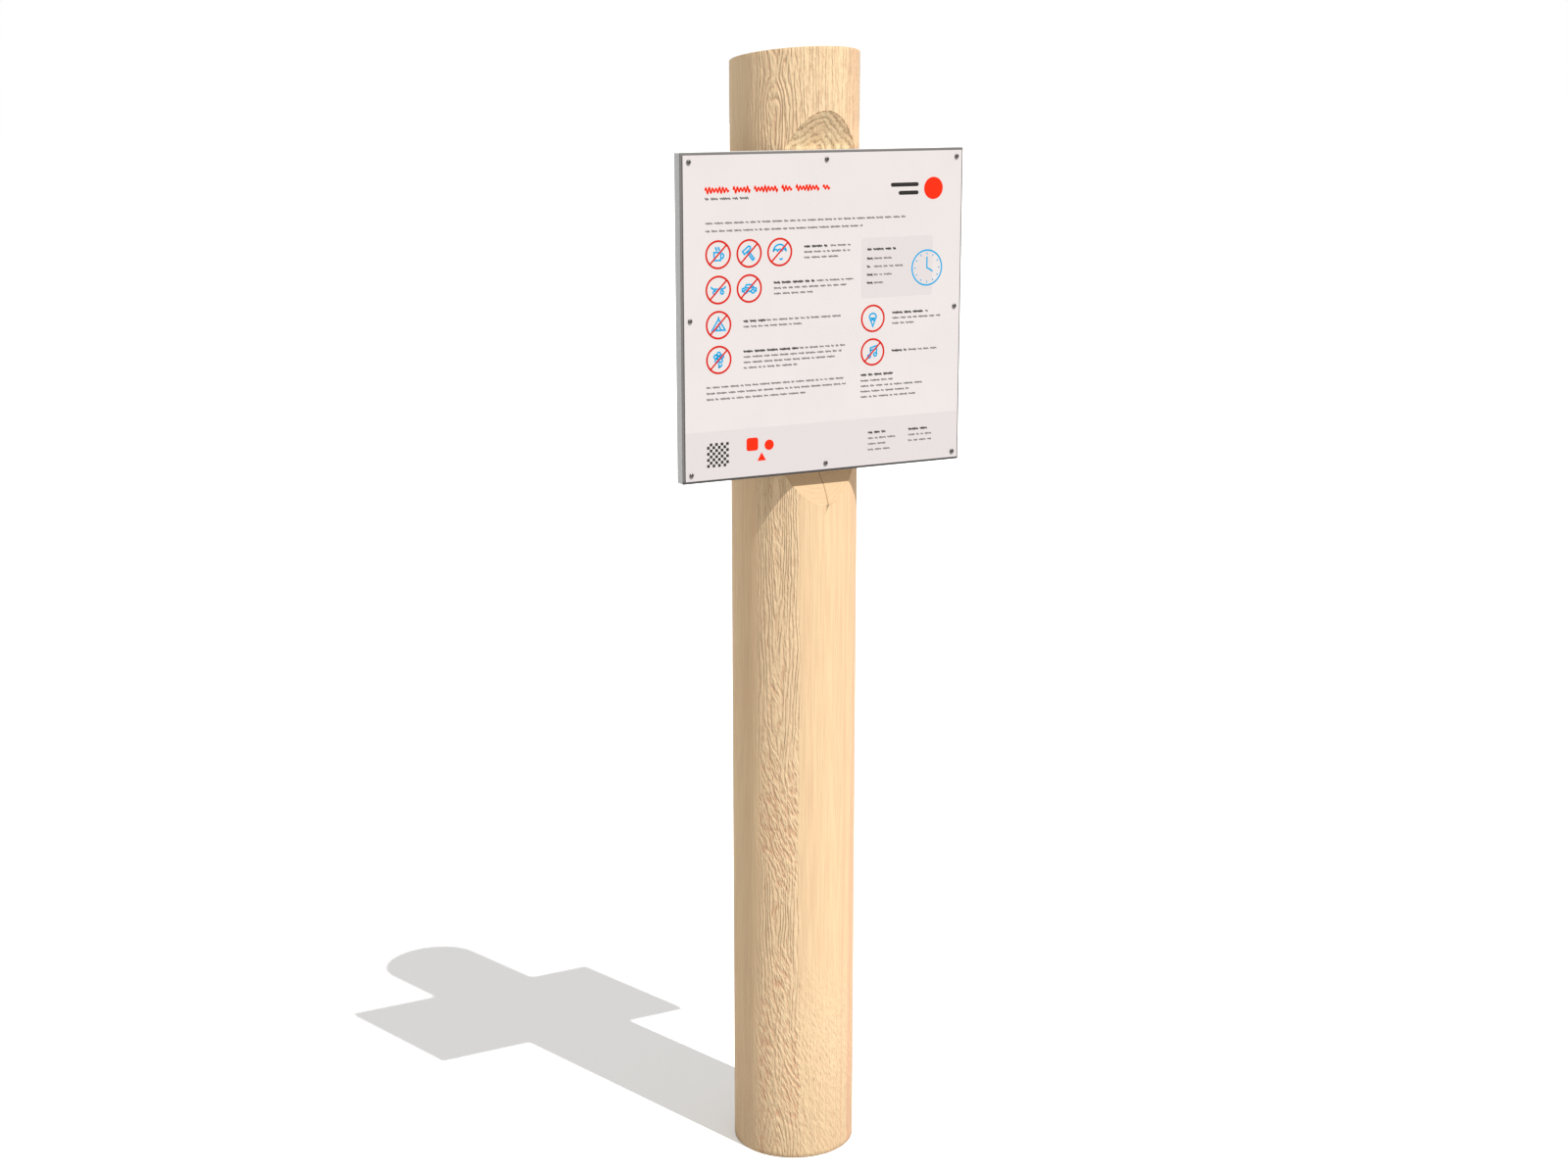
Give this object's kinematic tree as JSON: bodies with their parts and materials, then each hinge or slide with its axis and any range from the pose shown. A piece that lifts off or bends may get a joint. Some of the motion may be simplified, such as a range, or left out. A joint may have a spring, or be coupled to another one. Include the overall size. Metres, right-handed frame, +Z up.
{
  "type": "playground sign",
  "caption": "Square printed rules panel on a carrier board, screwed into a flat seat cut in a round timber post with a slanted top.",
  "frame": {"origin": "centre of the post's foot, at the mouth of the anchor bore, level with the ground", "axes": "+Z up along the post; -Y is the way the panel faces; +X is to the right of someone who reads the panel"},
  "size_m": [0.49, 0.2034, 1.8],
  "materials": {
    "timber": "turned softwood, unpainted, smooth to rough-grained",
    "board_plastic": "through-coloured grey sheet with sawn edges",
    "white_skin": "satin, printed in colour on the front",
    "dark_core": "sawn edge",
    "dark_steel": "dark domed screw heads",
    "zinc_steel": "bright zinc",
    "sleeve_steel": "galvanised"
  },
  "bodies": {
    "root": {"post": "timber", "board": "board_plastic", "rear_skin": "white_skin", "plate_core": "dark_core", "front_skin": "white_skin", "anchor_sleeve": "sleeve_steel", "face_screw_1": "dark_steel", "face_screw_2": "dark_steel", "face_screw_3": "dark_steel", "face_screw_4": "dark_steel", "face_screw_5": "dark_steel", "face_screw_6": "dark_steel", "face_screw_7": "dark_steel", "face_screw_8": "dark_steel", "coach_screw_1": "zinc_steel", "coach_screw_2": "zinc_steel", "coach_screw_3": "zinc_steel", "coach_screw_4": "zinc_steel", "washer_1": "zinc_steel", "washer_2": "zinc_steel", "washer_3": "zinc_steel", "washer_4": "zinc_steel"}
  },
  "joints": []
}
